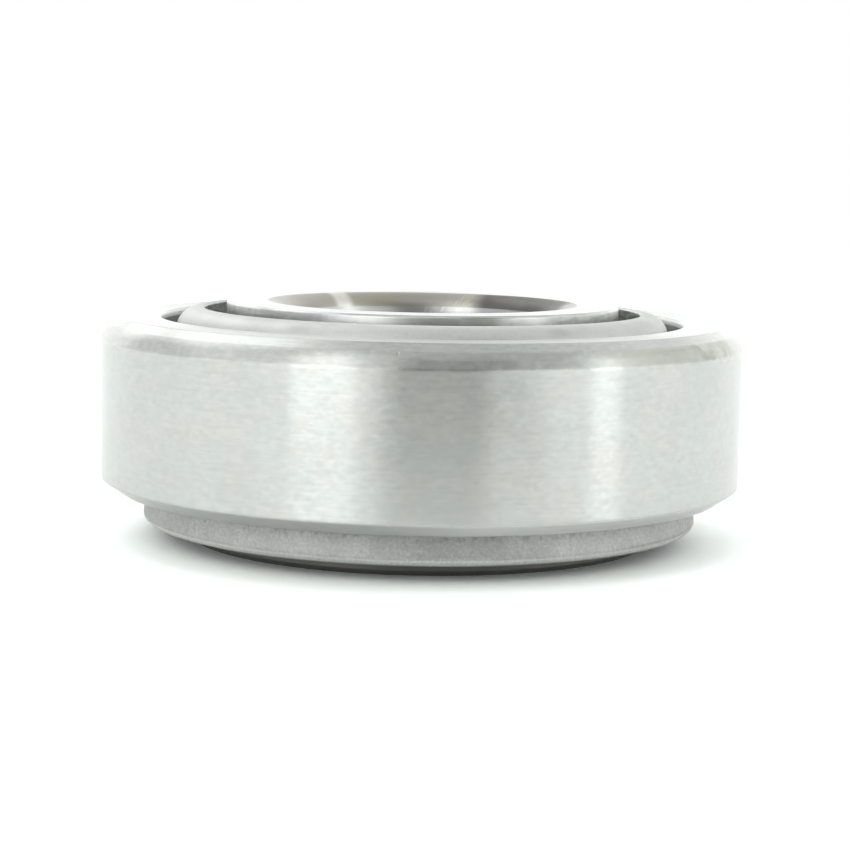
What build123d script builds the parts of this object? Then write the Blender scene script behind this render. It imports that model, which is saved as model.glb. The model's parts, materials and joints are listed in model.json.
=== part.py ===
from build123d import *
from math import asin, cos, floor, pi, radians, sin, tan
import os

# Single-row tapered roller bearing, standing on the back face of its inner ring with the
# small ends of its rollers up. Origin: centre of that back face. +Z: the axis of rotation.
# Sizes are in millimetres. Every section is drawn as radius across and height up.

# Boundary dimensions
bore_diameter = 19.05
outer_diameter = 45.237
inner_ring_width = 16.637
outer_ring_width = 12.065
assembled_width = 15.494

# Raceways: the outer ring's wall and the rollers' diameter at mid raceway, and the outer cone
outer_ring_wall = 2.87
roller_diameter = 5.57
outer_race_angle = radians(11.31)

# Inner ring: widths of the two ribs at the raceway, how far they stand above it, and the
# grinding reliefs, which are cut where the raceway meets the ribs
large_rib_width = 3.9
large_rib_height = 1.92
small_rib_width = 3.0
small_rib_height = 0.45
bore_corner_radius = 1.5
rib_edge_break = 0.35
front_edge_break = 0.15
relief_radius = 0.35
relief_sides = 6

# Outer ring: the back corner is two ground facets that blend, the front corner is one facet
back_facet_radial = 0.95
back_facet_axial = 0.72
back_blend_radial = 0.42
back_blend_axial = 0.8
back_blend_radius = 1.2
front_corner_radial = 1.2
front_corner_axial = 0.84
front_corner_most = 0.7
race_edge_break = 0.2

# Rollers: the running clearances to both raceways and the ribs, and the least gap between two
race_clearance = 0.03
thrust_clearance = 0.03
small_end_gap = 0.25
least_roller_gap = 0.55
roller_corner = 0.4

# Cage: pressed from sheet, with one pocket for each roller
cage_thickness = 1.0
cage_race_gap = 1.3
cage_setback = 0.5
cage_standoff = 1.1
cage_flange_gap = 1.55
cage_bend_radius = 0.6
cage_rim_radius = 0.55
cage_flange_break = 0.12
pocket_side_clearance = 0.15
pocket_end_clearance = 0.2
pocket_corner_radius = 0.6

# Where the cones lie: both raceways and all rollers share one apex on the axis, above the bearing
bore_radius = bore_diameter / 2
outer_radius = outer_diameter / 2
outer_race_radius = outer_radius - outer_ring_wall
race_middle_height = (large_rib_width + inner_ring_width - small_rib_width) / 2
apex_rise = outer_race_radius / tan(outer_race_angle)
apex_height = race_middle_height + apex_rise
outer_race_reach = apex_rise / cos(outer_race_angle)
roller_taper = asin(roller_diameter / 2 / outer_race_reach)
roller_tilt = outer_race_angle - roller_taper


def along_roller(distance, offset):
    """Point in the section at a distance from the apex along the roller's axis, and off it."""
    across = distance * sin(roller_tilt) + offset * cos(roller_tilt)
    height = apex_height - distance * cos(roller_tilt) + offset * sin(roller_tilt)
    return (across, height)


def inner_race_distance(height):
    """Distance from the apex, measured along the roller's axis, of a height on the inner raceway."""
    return (apex_height - height) / (cos(roller_tilt) + tan(roller_taper) * sin(roller_tilt))


def at_radius(distance, radius):
    """Point that lies square to the roller's axis at a distance from the apex, at a given radius."""
    offset = (radius - distance * sin(roller_tilt)) / cos(roller_tilt)
    return along_roller(distance, offset)


def outer_race_at(height):
    """Radius of the outer raceway at a height."""
    return (apex_height - height) * tan(outer_race_angle)


def nearest(builder, *points):
    """Corners of a sketch that lie nearest to the given points."""
    return [builder.vertices().sort_by_distance(point)[0] for point in points]


# Ribs and rollers: the raceway ends at the ribs, and the rollers fill what is between them
large_end_distance = inner_race_distance(large_rib_width)
small_end_distance = inner_race_distance(inner_ring_width - small_rib_width)
roller_large_end = large_end_distance - thrust_clearance
roller_small_end = small_end_distance + small_end_gap
middle_distance = apex_rise / cos(roller_tilt)
roller_radius = middle_distance * tan(roller_taper)
pitch_radius = middle_distance * sin(roller_tilt)
roller_count = floor(pi / asin((2 * roller_radius + least_roller_gap) / (2 * pitch_radius)))

# Outer ring, the cup: one ring of bearing steel, turned, hardened and ground
back_face_height = assembled_width
front_face_height = assembled_width - outer_ring_width
back_race_edge = (outer_race_at(back_face_height), back_face_height)
front_race_edge = (outer_race_at(front_face_height), front_face_height)
facet_meeting = (outer_radius - back_blend_radial, back_face_height - back_facet_axial)
front_wall = outer_radius - outer_race_at(front_face_height)
front_corner = min(front_corner_radial, front_corner_most * front_wall)

with BuildPart() as outer_ring:
    with BuildSketch(Plane.XZ) as outer_ring_section:
        with BuildLine():
            Polyline(
                front_race_edge,
                (outer_radius - front_corner, front_face_height),
                (outer_radius, front_face_height + front_corner_axial),
                (outer_radius, facet_meeting[1] - back_blend_axial),
                facet_meeting,
                (facet_meeting[0] - back_facet_radial, back_face_height),
                back_race_edge,
                close=True,
            )
        make_face()
        chamfer(nearest(outer_ring_section, front_race_edge, back_race_edge), race_edge_break)
        fillet(nearest(outer_ring_section, facet_meeting), back_blend_radius)
    revolve(axis=Axis.Z)
outer_ring.part.label = "outer_ring"

# Inner ring, the cone: bore, raceway, a large thrust rib below and a small retaining rib above
race_large_end = along_roller(large_end_distance, -large_end_distance * tan(roller_taper))
race_small_end = along_roller(small_end_distance, -small_end_distance * tan(roller_taper))
large_rib_radius = race_large_end[0] + large_rib_height
small_rib_radius = race_small_end[0] + small_rib_height
large_rib_rim = at_radius(large_end_distance, large_rib_radius)
small_rib_rim = at_radius(small_end_distance, small_rib_radius)

with BuildPart() as inner_ring:
    with BuildSketch(Plane.XZ) as inner_ring_section:
        with BuildLine():
            Polyline(
                (bore_radius, 0),
                (large_rib_radius, 0),
                large_rib_rim,
                race_large_end,
                race_small_end,
                small_rib_rim,
                (small_rib_radius, inner_ring_width),
                (bore_radius, inner_ring_width),
                close=True,
            )
        make_face()
        bore_corners = nearest(inner_ring_section, (bore_radius, 0), (bore_radius, inner_ring_width))
        fillet(bore_corners, bore_corner_radius)
        chamfer(nearest(inner_ring_section, (large_rib_radius, 0), large_rib_rim), rib_edge_break)
        chamfer(nearest(inner_ring_section, (small_rib_radius, inner_ring_width)), front_edge_break)
        with Locations(race_large_end, race_small_end):
            RegularPolygon(relief_radius, relief_sides, mode=Mode.SUBTRACT)
    revolve(axis=Axis.Z)
inner_ring.part.label = "inner_ring"

# Rollers: tapered, with chamfered ends, each on its own axis through the apex
roller_axis = Axis((0, 0, apex_height), (sin(roller_tilt), 0, -cos(roller_tilt)))
large_end_radius = roller_large_end * tan(roller_taper) - race_clearance / cos(roller_taper)
small_end_radius = roller_small_end * tan(roller_taper) - race_clearance / cos(roller_taper)
large_end_edge = along_roller(roller_large_end, large_end_radius)
small_end_edge = along_roller(roller_small_end, small_end_radius)

with BuildPart() as roller_form:
    with BuildSketch(Plane.XZ) as roller_section:
        with BuildLine():
            Polyline(
                along_roller(roller_large_end, 0),
                large_end_edge,
                small_end_edge,
                along_roller(roller_small_end, 0),
                close=True,
            )
        make_face()
        chamfer(nearest(roller_section, large_end_edge, small_end_edge), roller_corner)
    revolve(axis=roller_axis)

rollers = []
for number, place in enumerate(PolarLocations(0, roller_count), start=1):
    with BuildPart() as roller:
        with Locations(place):
            add(roller_form.part)
    roller.part.label = f"roller_{number:02d}"
    rollers.append(roller)

# Cage pocket: the roller's own form with clearance, so that the bars hug and hold the rollers
pocket_large_end = roller_large_end + pocket_end_clearance
pocket_small_end = roller_small_end - pocket_end_clearance
pocket_large_edge = along_roller(pocket_large_end, large_end_radius + pocket_side_clearance)
pocket_small_edge = along_roller(pocket_small_end, small_end_radius + pocket_side_clearance)

with BuildPart() as pocket_form:
    with BuildSketch(Plane.XZ) as pocket_section:
        with BuildLine():
            Polyline(
                along_roller(pocket_large_end, 0),
                pocket_large_edge,
                pocket_small_edge,
                along_roller(pocket_small_end, 0),
                close=True,
            )
        make_face()
        fillet(nearest(pocket_section, pocket_large_edge, pocket_small_edge), pocket_corner_radius)
    revolve(axis=roller_axis)

# Cage: a cone of sheet outside the rollers' pitch line, its small end bent in to a flange
cage_outer_offset = roller_radius - cage_race_gap
cage_inner_offset = cage_outer_offset - cage_thickness
cage_top = inner_ring_width - cage_setback
cage_underside = cage_top - cage_thickness
flange_radius = small_rib_radius + cage_flange_gap


def cage_point(offset, height):
    """Point at a height on the line that runs beside the roller's axis at an offset."""
    distance = (apex_height - height + offset * sin(roller_tilt)) / cos(roller_tilt)
    return along_roller(distance, offset)


cage_shoulder = cage_point(cage_outer_offset, cage_top)
cage_inner_bend = cage_point(cage_inner_offset, cage_underside)
cage_rim = cage_point(cage_outer_offset, cage_standoff)
flange_edges = [(flange_radius, cage_underside), (flange_radius, cage_top)]

with BuildPart() as cage:
    with BuildSketch(Plane.XZ) as cage_section:
        with BuildLine():
            Polyline(
                cage_point(cage_inner_offset, cage_standoff),
                cage_rim,
                cage_shoulder,
                flange_edges[1],
                flange_edges[0],
                cage_inner_bend,
                close=True,
            )
        make_face()
        fillet(nearest(cage_section, cage_shoulder), cage_bend_radius + cage_thickness)
        fillet(nearest(cage_section, cage_inner_bend), cage_bend_radius)
        fillet(nearest(cage_section, cage_rim), cage_rim_radius)
        chamfer(nearest(cage_section, *flange_edges), cage_flange_break)
    revolve(axis=Axis.Z)
    with PolarLocations(0, roller_count):
        add(pocket_form.part, mode=Mode.SUBTRACT)
cage.part.label = "cage"

# One file for each separate piece of the bearing
os.makedirs("parts", exist_ok=True)
for piece in [outer_ring, inner_ring, cage, *rollers]:
    export_step(piece.part, f"parts/{piece.part.label}.step")
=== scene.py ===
import json
from math import degrees, radians

import bmesh
import bpy
from mathutils import Matrix, Vector

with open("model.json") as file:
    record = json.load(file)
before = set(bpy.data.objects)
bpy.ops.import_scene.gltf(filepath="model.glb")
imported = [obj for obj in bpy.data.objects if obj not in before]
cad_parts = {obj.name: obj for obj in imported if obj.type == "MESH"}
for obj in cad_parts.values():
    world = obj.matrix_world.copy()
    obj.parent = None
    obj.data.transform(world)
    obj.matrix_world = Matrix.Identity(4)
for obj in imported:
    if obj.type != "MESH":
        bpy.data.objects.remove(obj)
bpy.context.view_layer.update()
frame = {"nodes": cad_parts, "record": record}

# Camera: it stands where the photograph was taken from, 158 mm off and nearly 7 degrees above the
# bearing's middle, with a long lens. It looks just past the axis and leans by a degree.
camera_place = Vector((0, -0.15664, 0.02689))
camera_heading = radians(-0.12)
camera_pitch = radians(-6.94)
camera_roll = radians(1.13)
lens_length = 93.4
nearest_seen = 0.01

camera = bpy.data.objects.new("camera", bpy.data.cameras.new("camera"))
camera.data.lens = lens_length
camera.data.clip_start = nearest_seen
upright = Matrix.Rotation(radians(90) + camera_pitch, 4, "X")
turned = Matrix.Rotation(camera_heading, 4, "Z")
lean = Matrix.Rotation(camera_roll, 4, "Z")
camera.matrix_world = Matrix.Translation(camera_place) @ turned @ upright @ lean
bpy.context.scene.collection.objects.link(camera)
bpy.context.scene.camera = camera
bpy.context.scene.view_settings.view_transform = "Standard"


# Floor: a sheet of matt white paper, level with the back face of the inner ring. It is plain white to
# the eye and keeps the soft shadow, and a painted shadow darkens it close under the bearing. The steel
# shows it white too, with painted shade on it towards the camera, where the dark side of the studio
# starts.
class Signal:
    """One output of a finish's nodes. Arithmetic on it adds the Math nodes."""

    def __init__(self, finish, socket):
        self.finish = finish
        self.socket = socket

    def beside(self, output):
        """Another output of the same node."""
        return Signal(self.finish, self.socket.node.outputs[output])

    def swing(self, most):
        """How far a noise, which runs from 0 to 1, is off its middle, for a whole swing of most."""
        return (self - 0.5) * most

    def reckon(self, operation, first, second):
        return self.finish.node("Math", {"operation": operation}, {0: first, 1: second})

    def __add__(self, other):
        return self.reckon("ADD", self, other)

    def __radd__(self, other):
        return self.reckon("ADD", other, self)

    def __sub__(self, other):
        return self.reckon("SUBTRACT", self, other)

    def __rsub__(self, other):
        return self.reckon("SUBTRACT", other, self)

    def __mul__(self, other):
        return self.reckon("MULTIPLY", self, other)

    def __rmul__(self, other):
        return self.reckon("MULTIPLY", other, self)

    def __truediv__(self, other):
        return self.reckon("DIVIDE", self, other)

    def __rtruediv__(self, other):
        return self.reckon("DIVIDE", other, self)

    def __pow__(self, other):
        return self.reckon("POWER", self, other)

    def __rpow__(self, other):
        return self.reckon("POWER", other, self)

    def __abs__(self):
        return self.reckon("ABSOLUTE", self, 0.0)


class Finish:
    """The shader nodes of a surface or of the studio's light."""

    def __init__(self, owner):
        owner.use_nodes = True
        self.tree = owner.node_tree
        self.tree.nodes.clear()

    def node(self, kind, settings, inputs, output=0):
        """Adds a node: its settings first, then the value or the link of each socket."""
        made = self.tree.nodes.new("ShaderNode" + kind)
        for name, value in settings.items():
            setattr(made, name, value)
        for name, value in inputs.items():
            if isinstance(value, Signal):
                self.tree.links.new(value.socket, made.inputs[name])
            else:
                made.inputs[name].default_value = value
        return Signal(self, made.outputs[output]) if made.outputs else None

    def rise(self, value, low, high):
        """0 up to low and 1 from high on, smooth between them. It falls where high is the lower."""
        limits = {"Value": value, "From Min": low, "From Max": high}
        return self.node("MapRange", {"interpolation_type": "SMOOTHSTEP"}, limits)

    def band(self, value, low, high, soft):
        """1 between low and high and 0 outside them, with each edge blurred by soft to either side."""
        return self.rise(value, low - soft, low + soft) * self.rise(value, high + soft, high - soft)

    def colours(self, share, first, second, blend="MIX"):
        """The first colour at a share of 0, and the second mixed or blended in towards a share of 1."""
        # A Mix node's colours are its sockets 6 and 7 and its output 2
        settings = {"data_type": "RGBA", "blend_type": blend}
        return self.node("Mix", settings, {0: share, 6: first, 7: second}, 2)

    def round_about(self, x, y):
        """The angle round the bearing's axis in degrees, from the camera's side towards +X."""
        return self.node("Math", {"operation": "ARCTAN2"}, {0: x, 1: 0 - y}) * degrees(1)


paper_white = (0.93, 0.95, 0.94, 1)
paper_in_steel = (1.17, 1.19, 1.185, 1)
# Painted shade: the paper as the steel mirrors it, dimmer towards the camera
paper_dim = (0.57, 0.57, 0.55, 1)
paper_to_eye = (1.62, 1.66, 1.64, 1)
# Painted shadow: the grey the paper takes close under the bearing
paper_shaded = (0.35, 0.36, 0.355, 1)
plain_white = (1, 1, 1, 1)
# Limits in metres and degrees: where a change starts and ends, or two edges and how soft they are
dim_distances = (0.03, 0.11)
dim_angles = (-14, 38, 7)
shade_distances = (0.0180, 0.0143)
glow_distances = (0.04, 0.09)
glow_most = 0.5
sheet_radius = 0.6
sheet_sides = 96

white_paper = bpy.data.materials.new("white_paper")
paper = Finish(white_paper)
spot = paper.node("TexCoord", {}, {}, "Object")
from_axis = paper.node("VectorMath", {"operation": "LENGTH"}, {0: spot}, "Value")
across = paper.node("SeparateXYZ", {}, {0: spot})
towards_camera = paper.band(paper.round_about(across, across.beside("Y")), *dim_angles)
paper_seen = paper.node("LightPath", {}, {}, "Is Camera Ray")
in_steel = paper_seen.beside("Is Glossy Ray") + paper_seen.beside("Is Transmission Ray")
# Painted shade on the paper the steel mirrors, towards the camera
dim = paper.rise(from_axis, *dim_distances) * towards_camera
mirrored = paper.colours(dim, paper_in_steel, paper_dim)
sheet_colour = paper.colours(in_steel, paper_white, mirrored)
sheet_colour = paper.colours(paper_seen, sheet_colour, paper_to_eye)
# Painted shadow: the paper is darker close under the bearing, for every ray
sheet_colour = paper.colours(paper.rise(from_axis, *shade_distances), sheet_colour, paper_shaded)
matt = paper.node("BsdfDiffuse", {}, {"Color": sheet_colour})
glow = paper_seen * glow_most * paper.rise(from_axis, *glow_distances)
lit = paper.node("Emission", {}, {"Color": plain_white, "Strength": glow})
surface = paper.node("AddShader", {}, {0: matt, 1: lit})
paper.node("OutputMaterial", {}, {"Surface": surface})

sheet_mesh = bpy.data.meshes.new("floor")
sheet = bmesh.new()
bmesh.ops.create_circle(sheet, cap_ends=True, segments=sheet_sides, radius=sheet_radius)
sheet.to_mesh(sheet_mesh)
sheet.free()
floor = bpy.data.objects.new("floor", sheet_mesh)
floor.data.materials.append(white_paper)
bpy.context.scene.collection.objects.link(floor)

# Studio light: a white tent, brighter low down, with lamps behind and above. A tall lamp stands at the
# left with a faint one beside it, and a narrow one at the right. The side that the camera looks in from
# is dark and warm, and reaches further round to the right with height.
tent_low = 1.24
tent_high = 0.68
tent_tint = (0.98, 1.0, 0.995, 1)
tent_heights = (62, 12)
dark_side = 0.76
dark_tint = (1.0, 0.995, 0.955, 1)
dark_heights = (62, 54)
dark_left = (-14.8, -11.8)
dark_left_step = (-9.3, -6.3)
step_share = 0.35
blur_heights = (5, 25)
blur_most = 8
dark_right_steep = (25, 19)
steep_heights = (20, 50)
steep_turn = 20
steep_share = 0.4
dark_right_slanting = (26, 18)
slanting_heights = (0, 50)
slanting_turn = 50
backdrop_glow = 0.16
backdrop_azimuths = (156, 170)
backdrop_heights = (20, 8)
narrow_lamp_heights = (80, 10)
lean_heights = (6, 44)
panel_soft = 5

world = bpy.data.worlds.new("studio")
bpy.context.scene.world = world
studio = Finish(world)
towards = studio.node("SeparateXYZ", {}, {0: studio.node("TexCoord", {}, {}, "Generated")})
azimuth = studio.round_about(towards, towards.beside("Y"))
height = studio.node("Math", {"operation": "ARCSINE"}, {0: towards.beside("Z")}) * degrees(1)


def panel(strength, left, right, soft, low, high, lean=0.0):
    """A lamp or a shade of the tent, between two azimuths from the camera's side and two heights, in
    degrees. It leans over to the right by so many degrees towards its top."""
    shift = studio.rise(height, *lean_heights) * lean
    sides = studio.band(azimuth - shift, left, right, soft)
    return sides * studio.band(height, low, high, panel_soft) * strength


blur = studio.rise(height, *blur_heights) * blur_most
left_end = studio.rise(azimuth, dark_left[0], blur + dark_left[1]) * (1 - step_share)
left_end = left_end + studio.rise(azimuth, *dark_left_step) * step_share
steep = azimuth - studio.rise(height, *steep_heights) * steep_turn
slanting = azimuth - studio.rise(height, *slanting_heights) * slanting_turn
right_end = studio.rise(steep, *dark_right_steep) * steep_share
right_end = right_end + studio.rise(slanting, *dark_right_slanting) * (1 - steep_share)
dark = left_end * right_end * studio.rise(height, *dark_heights)

left_shade = panel(0.36, left=-134, right=-90, soft=6, low=6, high=38)
right_shade = panel(0.24, left=98, right=136, soft=8, low=6, high=40)
backdrop_lamp = studio.rise(abs(azimuth), *backdrop_azimuths) * backdrop_glow
backdrop_lamp = backdrop_lamp * studio.rise(height, *backdrop_heights)
left_rear_lamp = panel(0.98, left=-162, right=-108, soft=9, low=38, high=65)
low_rear_lamp = panel(0.8, left=-157, right=-141, soft=4, low=18, high=40)
right_rear_lamp = panel(0.12, left=108, right=168, soft=10, low=38, high=66)
brow_lamp = panel(0.55, left=-60, right=40, soft=12, low=64, high=74)
tall_lamp = panel(1.05, left=-45.3, right=-22.4, soft=1.6, low=-5, high=60, lean=-6.5)
faint_lamp = panel(0.16, left=-56.5, right=-50, soft=1.5, low=-5, high=60)
narrow_lamp = panel(1.25, left=61, right=72, soft=1.8, low=-5, high=42, lean=12.5)

tent = tent_high + (tent_low - tent_high) * studio.rise(height, *tent_heights)
tent = tent * (1 - dark_side * dark) * (1 - left_shade) * (1 - right_shade)
tent = tent + backdrop_lamp + left_rear_lamp + low_rear_lamp + right_rear_lamp + brow_lamp
tent = tent + tall_lamp + faint_lamp + narrow_lamp * studio.rise(height, *narrow_lamp_heights)
backdrop_seen = studio.node("LightPath", {}, {}, "Is Camera Ray")
tint = studio.colours(dark, tent_tint, dark_tint)
tinted = studio.node("Background", {}, {"Color": tint, "Strength": tent})
white = studio.node("Background", {}, {"Color": plain_white, "Strength": 1.0})
light = studio.node("MixShader", {}, {0: backdrop_seen, 1: tinted, 2: white})
studio.node("OutputWorld", {}, {"Surface": light})

# Outer ring: the cup, one ring of hardened bearing steel, ground outside and honed on its raceway. The
# grinding lines run round it. Handling nicked its upper corner twice and left a thin brown film of oil
# on it. Painted light lies on the mouth of the raceway and on the lower corner towards the right, and
# painted shade on the raceway deeper in.
light_steel = (0.72, 0.727, 0.715, 1)
dark_steel = (0.545, 0.551, 0.54, 1)
warm_cast = (1.0, 0.99, 0.968, 1)
cool_cast = (0.98, 1.0, 0.988, 1)
# Painted light for the raceway's mouth and the lower corner, and painted shade for the raceway deeper
# in
painted_light_steel = (0.94, 0.95, 0.94, 1)
race_shadow = (0.34, 0.345, 0.335, 1)
nick_steel = (0.42, 0.42, 0.40, 1)
oiled_steel = (0.60, 0.62, 0.53, 1)
brown_oil = (0.41, 0.415, 0.34, 1)
# On the bearing itself such limits are in millimetres and degrees
race_radii = (20.6, 20.3)
race_heights = (3.5, 15.4, 0.05)
mouth_heights = (14.97, 15.1)
corner_radii = (21.9, 22.6, 0.04)
corner_heights = (13.8, 14.0)
back_face_heights = (15.47, 15.49)
low_corner_heights = (4.3, 4.25)
# Painted light on the lower corner grows between these angles
corner_light_angles = (-12, 16)
nick_place = (-1.46, -21.97, 14.85)
nick_reach = (0.14, 0.35, 0.35)
long_nick_angles = (41.5, 51.5, 1.5)
long_nick_radii = (22.08, 22.2, 0.07)
film_angles = (30, 76, 10)
spot_angles = (52, 69, 4)

mm_per_metre = 1000
micron = 1e-6
# Turned lines are as long as they are said to be at this radius
usual_radius = 20
edge_samples = 6
# A quarter turn, so that the sheen spreads square to the lines
sheen_turn = 0.25


def in_millimetres(finish):
    """Where a point of a piece is: across, along, up, and how far off the bearing's axis."""
    place = finish.node("SeparateXYZ", {}, {0: finish.node("TexCoord", {}, {}, "Object")})
    x = place * mm_per_metre
    y = place.beside("Y") * mm_per_metre
    z = place.beside("Z") * mm_per_metre
    return x, y, z, (x * x + y * y) ** 0.5


def turned_lines(finish, place, spacing, length, detail=3.0):
    """Lines that run round the axis: how far apart they are, and about how long, in millimetres."""
    x, y, z, radius = place
    bend = usual_radius / length
    sockets = {0: x / radius * bend, 1: y / radius * bend, 2: radius / spacing}
    turn = finish.node("CombineXYZ", {}, sockets)
    sockets = {"Vector": turn, "W": z / spacing, "Scale": 1.0, "Detail": detail}
    return finish.node("TexNoise", {"noise_dimensions": "4D"}, sockets)


def clouds(finish, size, detail=3.0):
    """Uneven patches that are about as large as size, in millimetres."""
    place = finish.node("TexCoord", {}, {}, "Object")
    sockets = {"Vector": place, "Scale": mm_per_metre / size, "Detail": detail}
    return finish.node("TexNoise", {}, sockets)


def dent(finish, place, middle, reach):
    """1 at a point of a piece, and 0 from its reach on, in millimetres each way."""
    off = [((part - centre) / far) ** 2 for part, centre, far in zip(place, middle, reach)]
    return finish.rise(sum(off) ** 0.5, 1, 0)


def bare_metal(finish, colour, metallic, roughness, relief, spread, edge):
    """Uncoated metal. Relief is in thousandths of a millimetre. Spread draws the sheen out across the
    lines, and edge says over how many millimetres the sharp edges are rubbed round."""
    rubbed_edges = finish.node("Bevel", {"samples": edge_samples}, {"Radius": edge / mm_per_metre})
    sockets = {"Height": relief, "Strength": 1.0, "Distance": micron, "Normal": rubbed_edges}
    bumps = finish.node("Bump", {}, sockets)
    sockets = {"Base Color": colour, "Metallic": metallic, "Roughness": roughness, "Normal": bumps}
    sockets.update({"Anisotropic": spread, "Anisotropic Rotation": sheen_turn})
    finish.node("OutputMaterial", {}, {"Surface": finish.node("BsdfPrincipled", {}, sockets)})


def dress(node, material):
    """Gives a piece of the bearing its finish."""
    slots = frame["nodes"][node].data.materials
    slots.clear()
    slots.append(material)


outer_steel = bpy.data.materials.new("outer_ring_steel")
outer = Finish(outer_steel)
place = in_millimetres(outer)
x, y, z, radius = place
angle = outer.round_about(x, y)
grinding = turned_lines(outer, place, spacing=0.1, length=2.5)
scratches = outer.rise(turned_lines(outer, place, spacing=0.3, length=8, detail=1.0), 0.64, 0.8)
patches = clouds(outer, size=4)
mottling = turned_lines(outer, place, spacing=0.3, length=0.5)
specks = outer.rise(clouds(outer, size=0.5, detail=1.0), 0.7, 0.8)
on_race = outer.rise(radius, *race_radii) * outer.band(z, *race_heights)
at_mouth = outer.rise(z, *mouth_heights)
on_corner = outer.band(radius, *corner_radii) * outer.rise(z, *corner_heights)
on_back_face = outer.rise(z, *back_face_heights)
nick = dent(outer, place, nick_place, nick_reach)
long_nick = outer.band(angle, *long_nick_angles) * outer.band(radius, *long_nick_radii)
long_nick = long_nick * outer.rise(mottling, 0.4, 0.6) * on_corner
# Painted light on the outer ring's lower corner, towards the right
painted_edge_light = outer.rise(z, *low_corner_heights) * outer.rise(angle, *corner_light_angles)
film = on_corner * outer.band(angle, *film_angles) * outer.rise(patches, 0.15, 0.75)
spots = on_corner * outer.band(angle, *spot_angles) * outer.rise(clouds(outer, size=1.3), 0.42, 0.66)
share = 0.5 + grinding.swing(0.3) + patches.swing(0.3) + mottling.swing(0.8)
share = share - specks * 0.12 + scratches * 0.08 + on_corner * mottling.swing(0.4)
share = share - on_back_face * 0.3 - on_corner * 0.12
steel = outer.colours(outer.rise(share, 0, 1), dark_steel, light_steel)
cast = outer.colours(outer.rise(clouds(outer, size=2.5, detail=2.0), 0.38, 0.62), warm_cast, cool_cast)
steel = outer.colours(1.0, steel, cast, "MULTIPLY")
# Painted light at the raceway's mouth and painted shade below it, deeper in the gap
steel = outer.colours(on_race, steel, outer.colours(at_mouth, race_shadow, painted_light_steel))
steel = outer.colours(painted_edge_light * 0.85, steel, painted_light_steel)
steel = outer.colours(film * 0.75, steel, oiled_steel)
steel = outer.colours(spots * 0.7, steel, brown_oil)
steel = outer.colours(nick * 0.35 + long_nick * 0.4, steel, nick_steel)
# At the raceway's mouth the steel is made less metallic, so that its painted light shows
metallic = 1 - on_race * at_mouth * (1.1 - grinding)
roughness = 0.22 + patches.swing(0.1) + mottling.swing(0.1) + on_race * 0.25 + on_corner * 0.1
relief = grinding * 0.4 + scratches * 0.4 + patches * 1.5 + mottling * (0.25 - on_corner * 0.15)
relief = relief - specks * 0.3 - nick * 18 - long_nick * 8
bare_metal(outer, steel, metallic, roughness, relief, spread=0.95, edge=0.3)
dress("outer_ring", outer_steel)

# Inner ring: the cone, ground bearing steel too. Its front face is clean, and the side of its small rib
# is scuffed, lighter in some bands round it and darker in others. Its large rib is rougher outside,
# with painted shade on it. The spindle scratched the bore, which is stained too. The bore's corners
# were turned, not ground, and carry a film of oil, and a painted highlight runs down them at one place
# round the bore.
bright_steel = (0.74, 0.75, 0.735, 1)
face_steel = (0.54, 0.547, 0.535, 1)
rib_band_light = (0.88, 0.89, 0.875, 1)
rib_band_dark = (0.40, 0.393, 0.36, 1)
bore_steel = (0.60, 0.60, 0.588, 1)
turned_corner = (0.46, 0.447, 0.42, 1)
corner_highlight_steel = (0.90, 0.88, 0.82, 1)
stained_steel = (0.15, 0.145, 0.135, 1)
# Painted shade for the outside of the large rib, low under the bearing
large_rib_shade_grey = (0.24, 0.24, 0.235, 1)
olive_oil = (0.52, 0.485, 0.35, 1)
rosy_oil = (0.52, 0.44, 0.39, 1)
front_face_heights = (16.60, 16.63)
front_face_radii = (10.9, 11.0)
bore_radii = (11.05, 10.9)
bore_middle = 8.32
bore_corners = (7.34, 7.40)
small_rib_radii = (13.5, 13.65)
small_rib_heights = (16.6, 16.5)
large_rib_radii = (15.9, 16.2)
large_rib_heights = (4.4, 4.0)
light_rib_bands = ((-26, -10, 4), (-12, 8, 4), (24, 38, 3))
faint_dark_rib_band = (-50, -29, 4)
dark_rib_band = (12, 21, 3)
bore_score_angles = (169, 180, 2)
corner_score_angles = (157, 168, 3)
corner_highlight_angles = (-147, -139, 2)
stain_angles = (100, 156, 5)
oiled_angles = (100, 172, 12)
scores_each_degree = 0.9
score_slant = 2.2
score_change = 1.6

inner_steel = bpy.data.materials.new("inner_ring_steel")
inner = Finish(inner_steel)
place = in_millimetres(inner)
x, y, z, radius = place
angle = inner.round_about(x, y)
honing = turned_lines(inner, place, spacing=0.1, length=3)
scuffs = turned_lines(inner, place, spacing=0.22, length=2.2)
patches = clouds(inner, size=3)
blotches = clouds(inner, size=0.7, detail=2.0)
on_face = inner.rise(z, *front_face_heights) * inner.rise(radius, *front_face_radii)
in_bore = inner.rise(radius, *bore_radii)
at_corner = in_bore * inner.rise(abs(z - bore_middle), *bore_corners)
on_rib = inner.rise(radius, *small_rib_radii) * inner.rise(z, *small_rib_heights)
on_large_rib = inner.rise(radius, *large_rib_radii) * inner.rise(z, *large_rib_heights)
# Lighter and darker bands round the small rib's side, at given angles
rib_light = on_rib * sum(inner.band(angle, *rib_band) for rib_band in light_rib_bands)
rib_dark = on_rib * (inner.band(angle, *faint_dark_rib_band) * 0.6 + inner.band(angle, *dark_rib_band))
along_scores = angle * scores_each_degree + z * score_slant
skewed = inner.node("CombineXYZ", {}, {0: along_scores, 1: z * score_change, 2: radius})
slanting = inner.node("TexNoise", {}, {"Vector": skewed, "Scale": 1.0, "Detail": 2.0})
scored = inner.band(angle, *bore_score_angles) * (1 - at_corner)
scored = scored + inner.band(angle, *corner_score_angles) * 0.7
scored = in_bore * scored * inner.rise(slanting, 0.50, 0.62) * inner.rise(blotches, 0.35, 0.6)
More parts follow.
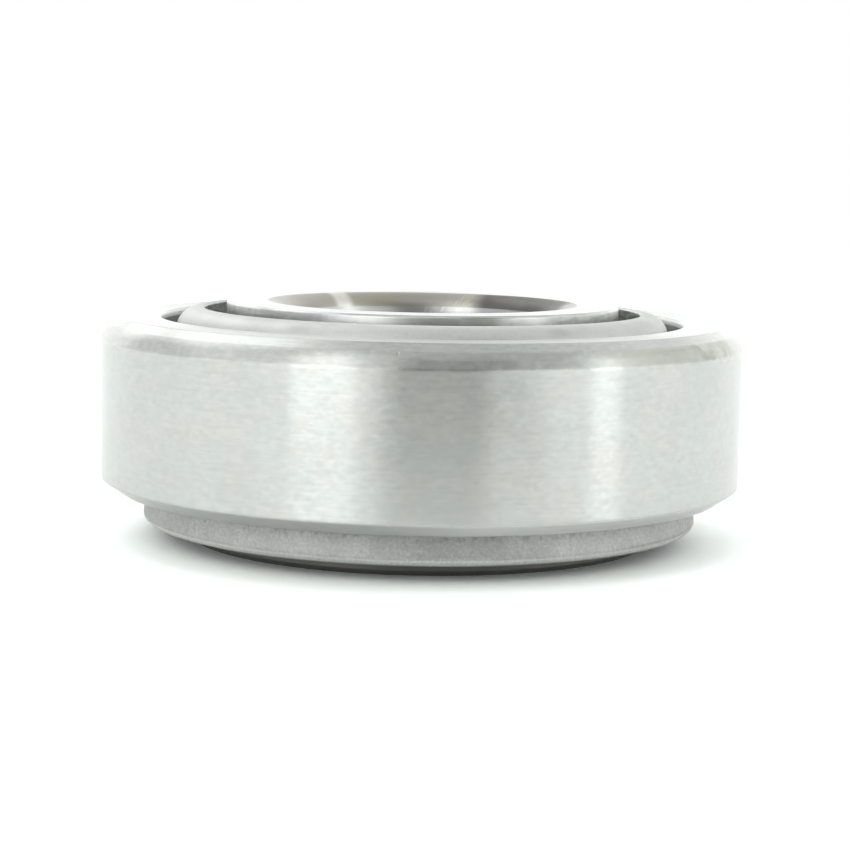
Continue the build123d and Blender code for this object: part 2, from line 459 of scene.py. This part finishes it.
# Painted highlight: a light streak down the bore's corners at these angles
painted_corner_highlight = at_corner * inner.band(angle, *corner_highlight_angles)
stain = inner.band(angle, *stain_angles) * in_bore * (0.45 + at_corner * 0.55)
film = at_corner * inner.band(abs(angle), *oiled_angles)
share = 0.5 + honing.swing(0.6) + patches.swing(0.4) + blotches.swing(0.3)
share = share + on_rib * (scuffs.swing(2) + blotches.swing(1.2))
steel = inner.colours(inner.rise(share, 0, 1), dark_steel, bright_steel)
steel = inner.colours(on_face * (0.75 + honing * 0.3), steel, face_steel)
steel = inner.colours(rib_light * 0.5, steel, rib_band_light)
steel = inner.colours(rib_dark * (0.5 + scuffs * 0.6), steel, rib_band_dark)
steel = inner.colours(in_bore, steel, inner.colours(at_corner, bore_steel, turned_corner))
steel = inner.colours(film * inner.rise(patches, 0.42, 0.62) * 0.6, steel, olive_oil)
steel = inner.colours(film * inner.rise(patches, 0.5, 0.35) * 0.4, steel, rosy_oil)
steel = inner.colours(stain * (0.85 + patches * 0.3), steel, stained_steel)
# Painted highlight on the bore's corners
steel = inner.colours(painted_corner_highlight * 0.75, steel, corner_highlight_steel)
steel = inner.colours(scored * 0.5, steel, bright_steel)
# Painted shade on the outside of the large rib
steel = inner.colours(on_large_rib, steel, large_rib_shade_grey)
roughness = 0.21 + in_bore * 0.11 + at_corner * 0.08 + on_rib * 0.13 + on_large_rib * 0.2
roughness = roughness + patches.swing(0.1) + blotches.swing(0.1)
relief = honing * 0.9 + patches * 2 + blotches * 0.6 + on_rib * scuffs * 3 - scored * 5
bare_metal(inner, steel, 1.0, roughness, relief, spread=0.6, edge=0.1)
dress("inner_ring", inner_steel)

# Rollers: tapered, hardened steel, superfinished, so they are the smoothest pieces. They are set evenly
# round the ring, and the fine lines on each run about its own leaning axis.
roller_light = (0.70, 0.71, 0.70, 1)
roller_dark = (0.60, 0.61, 0.60, 1)
record_joints = {joint["name"]: joint for joint in frame["record"]["behaviour"]["joints"]}
first_roller = record_joints["roller_01_spin"]
roller_step = 360 / sum(name.startswith("roller") for name in frame["nodes"])

roller_steel = bpy.data.materials.new("roller_steel")
roller = Finish(roller_steel)
x, y, z, radius = in_millimetres(roller)
steps_round = roller.node("Math", {"operation": "ARCTAN2"}, {0: y, 1: x}) * (degrees(1) / roller_step)
nearest_roller = roller.node("Math", {"operation": "ROUND"}, {0: steps_round})
off_middle = (steps_round - nearest_roller) * radians(roller_step)
outward = radius * roller.node("Math", {"operation": "COSINE"}, {0: off_middle})
outward = outward - first_roller["pos_m"][0] * mm_per_metre
sideways = radius * roller.node("Math", {"operation": "SINE"}, {0: off_middle})
upward = z - first_roller["pos_m"][2] * mm_per_metre
lean_in, _, stand_up = first_roller["axis"]
along = outward * lean_in + upward * stand_up
across = outward * stand_up - upward * lean_in
own_place = (across, sideways, along, (across * across + sideways * sideways) ** 0.5)
polish = turned_lines(roller, own_place, spacing=0.06, length=8)
patches = clouds(roller, size=1.5)
steel = roller.colours(roller.rise(polish + patches * 0.5, 0.45, 1.05), roller_dark, roller_light)
roughness = 0.15 + patches.swing(0.08) + polish.swing(0.05)
bare_metal(roller, steel, 1.0, roughness, polish * 0.5 + patches, spread=0.3, edge=0.1)
for name in frame["nodes"]:
    if name.startswith("roller"):
        dress(name, roller_steel)

# Cage: pressed from mild steel sheet, with its pockets punched and its small end turned in to a flange.
# It was shot-blasted matt, finest on the flange, which carries painted light that makes it lighter than
# the rim. Its large-end rim is coarser, with painted light along its edge and painted shade underneath
# and in the crevice under the outer ring. A few spots near its top are darker.
blasted_light = (0.725, 0.73, 0.712, 1)
blasted_dark = (0.395, 0.397, 0.382, 1)
scratch_and_edge_light_steel = (0.88, 0.89, 0.87, 1)
sheared_edge = (0.42, 0.425, 0.41, 1)
darker_spot_grey = (0.34, 0.34, 0.33, 1)
painted_shade_dark = (0.25, 0.25, 0.24, 1)
flange_heights = (14.2, 15.4)
flange_top_heights = (16.1, 16.12)
sheared_radii = (15.46, 15.42)
rim_heights = (6, 4)
rim_edge_heights = (1.22, 1.56, 0.06)
underside_heights = (1.22, 1.13)
crevice_heights = (2.9, 3.9, 0.4)
left_darker_spot = ((-8.4, -15.2, 15.8), (1.8, 1.2, 0.5))
middle_darker_spot = ((1.1, -17.4, 15.8), (1.6, 0.8, 0.5))
right_darker_spot = ((9.3, -14.6, 15.8), (1.6, 1.2, 0.5))
scratch_slant = 0.35
scratch_off_axis = 9.7
scratch_width = (-0.06, 0.06, 0.05)
scratch_ends = (-4.7, -2.6, 0.3)

cage_steel = bpy.data.materials.new("cage_steel")
cage = Finish(cage_steel)
place = in_millimetres(cage)
x, y, z, radius = place
grain = clouds(cage, size=0.16, detail=2.0)
craters = cage.rise(clouds(cage, size=0.3, detail=1.0), 0.42, 0.72)
patches = clouds(cage, size=2.5)
on_flange = cage.rise(z, *flange_heights)
near_rim = cage.rise(z, *rim_heights)
# Painted light along the lower edge of the rim
painted_edge_light = cage.band(z, *rim_edge_heights) * (0.5 + grain)
# Painted shade on the underside of the rim
underside_shade = cage.rise(z, *underside_heights)
# Painted shade, speckled, in the crevice under the outer ring
crevice_shade = cage.band(z, *crevice_heights) * near_rim * cage.rise(craters - grain * 0.5, 0.1, 0.5)
shearing = turned_lines(cage, place, spacing=0.25, length=1.2)
sheared = cage.rise(radius, *sheared_radii) * on_flange
# Three grainy spots near the top of the cage, darker than the rest
darker_spots = sum(dent(cage, place, *darker_spot) for darker_spot in (left_darker_spot, middle_darker_spot, right_darker_spot))
off_scratch = x + y * scratch_slant + scratch_off_axis
scratch = cage.band(off_scratch, *scratch_width) * cage.band(x, *scratch_ends)
scratch = scratch * cage.rise(z, *flange_top_heights)
# The flange's lighter tone is painted light on the top of the cage
share = 0.34 + on_flange * 0.41 + grain.swing(0.8 - on_flange * 0.4) + patches.swing(0.5)
share = share - craters * (0.12 - on_flange * 0.08) + sheared * 0.2
steel = cage.colours(cage.rise(share, 0, 1), blasted_dark, blasted_light)
steel = cage.colours(sheared * cage.rise(shearing, 0.6, 0.4), steel, sheared_edge)
# Painted shade under the rim
steel = cage.colours(underside_shade * 0.85, steel, painted_shade_dark)
# Painted shade in the crevice under the outer ring
steel = cage.colours(crevice_shade * 0.65, steel, painted_shade_dark)
# Painted light on the rim's edge, and the bright scratch on the flange
steel = cage.colours(painted_edge_light * 0.6 + scratch * 0.6, steel, scratch_and_edge_light_steel)
steel = cage.colours(darker_spots * (grain + 0.1) * 0.6, steel, darker_spot_grey)
roughness = 0.56 + grain.swing(0.2) - on_flange * 0.05 - scratch * 0.15 - sheared * 0.15
relief = grain * (3 + near_rim * 4) - craters * (2 + near_rim * 3) + patches * 4
relief = relief - scratch * 6 + sheared * shearing * 6
bare_metal(cage, steel, 1.0, roughness, relief, spread=0.0, edge=0.1)
dress("cage", cage_steel)
